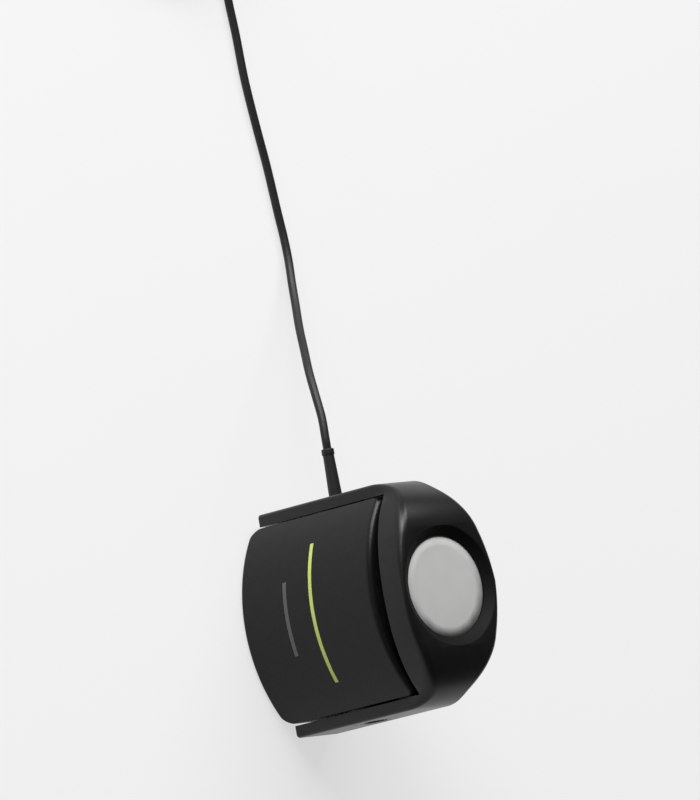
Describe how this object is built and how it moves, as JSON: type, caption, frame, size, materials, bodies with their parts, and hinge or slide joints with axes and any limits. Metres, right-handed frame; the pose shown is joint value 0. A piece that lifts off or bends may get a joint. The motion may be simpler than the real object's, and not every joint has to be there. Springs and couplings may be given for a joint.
{
  "type": "monitor calibrator",
  "caption": "Hanging screen colorimeter: barrel-walled body with a lens end, a swinging U arm that carries an ambient diffuser, a data cord with a sliding counterweight and a plug",
  "frame": {"origin": "centre of the body's footprint, on the plane of the contact pad", "axes": "+Z from the lens end to the diffuser, the label wall faces -Y, the hinge axis lies along X and the cord leaves at -X"},
  "size_m": [0.29, 0.0654, 0.066],
  "materials": {
    "body_plastic": "fine textured satin black",
    "arm_plastic": "fine textured satin black",
    "pad_felt": "short dark pile",
    "inner_plastic": "plain black",
    "lens_glass": "clear, coated",
    "filter_glass": "green-tinted",
    "chip": "moulded black",
    "board": "green solder mask",
    "screw_steel": "plated steel",
    "socket_plastic": "ivory",
    "lamp": "clear-topped lamp",
    "light_guide": "translucent grey",
    "insert_steel": "blackened steel",
    "washer": "self-lubricating black",
    "diffuser": "opal white",
    "magnet": "nickel plated",
    "cord_sheath": "matt black",
    "plug_metal": "drawn",
    "weight_plastic": "satin black",
    "button_plastic": "dark grey",
    "slug_steel": "plain steel"
  },
  "bodies": {
    "housing": {"label_shell": "body_plastic", "rear_shell": "body_plastic", "contact_pad": "pad_felt", "lens_barrel": "inner_plastic", "objective_lens": "lens_glass", "lens_retainer": "inner_plastic", "aperture_baffle": "inner_plastic", "filter_plate": "filter_glass", "sensor_chip": "chip", "sensor_board": "board", "board_screws": "screw_steel", "controller_chip": "chip", "position_sensor": "chip", "cable_socket": "socket_plastic", "inner_lead": "cord_sheath", "status_lamp": "lamp", "light_bar": "light_guide", "shell_screws": "screw_steel", "cable_trunnion": "body_plastic", "tripod_trunnion": "body_plastic", "tripod_insert": "insert_steel", "hinge_washers": "washer", "strain_relief": "cord_sheath", "cord_run": "cord_sheath", "cord_coil": "cord_sheath", "cord_tail": "cord_sheath", "coil_tie": "pad_felt", "plug_relief": "cord_sheath", "plug_grip": "weight_plastic", "plug_shell": "plug_metal", "plug_tongue": "chip"},
    "arm": {"diffuser_arm": "arm_plastic", "diffuser_disc": "diffuser", "diffuser_retainer": "inner_plastic", "position_magnet": "magnet"},
    "counterweight": {"weight_lower": "weight_plastic", "weight_upper": "weight_plastic", "weight_slugs": "slug_steel", "weight_spring": "screw_steel"},
    "lock_button": {"weight_button": "button_plastic"}
  },
  "joints": [
    {"name": "arm_swing", "type": "hinge", "parent": "housing", "child": "arm", "pos_m": [0, 0, 0.027], "axis": [-1, 0, 0], "range_deg": [0, 180]},
    {"name": "weight_slide", "type": "slide", "parent": "housing", "child": "counterweight", "axis": [0, -1, 0], "range_m": [-0.003, 0.003]},
    {"name": "lock_press", "type": "slide", "parent": "counterweight", "child": "lock_button", "axis": [0, 0, -1], "range_m": [0, 0.0015], "stiffness_N_per_m": 800, "springref_m": -0.001, "deforming": ["weight_spring"]}
  ]
}
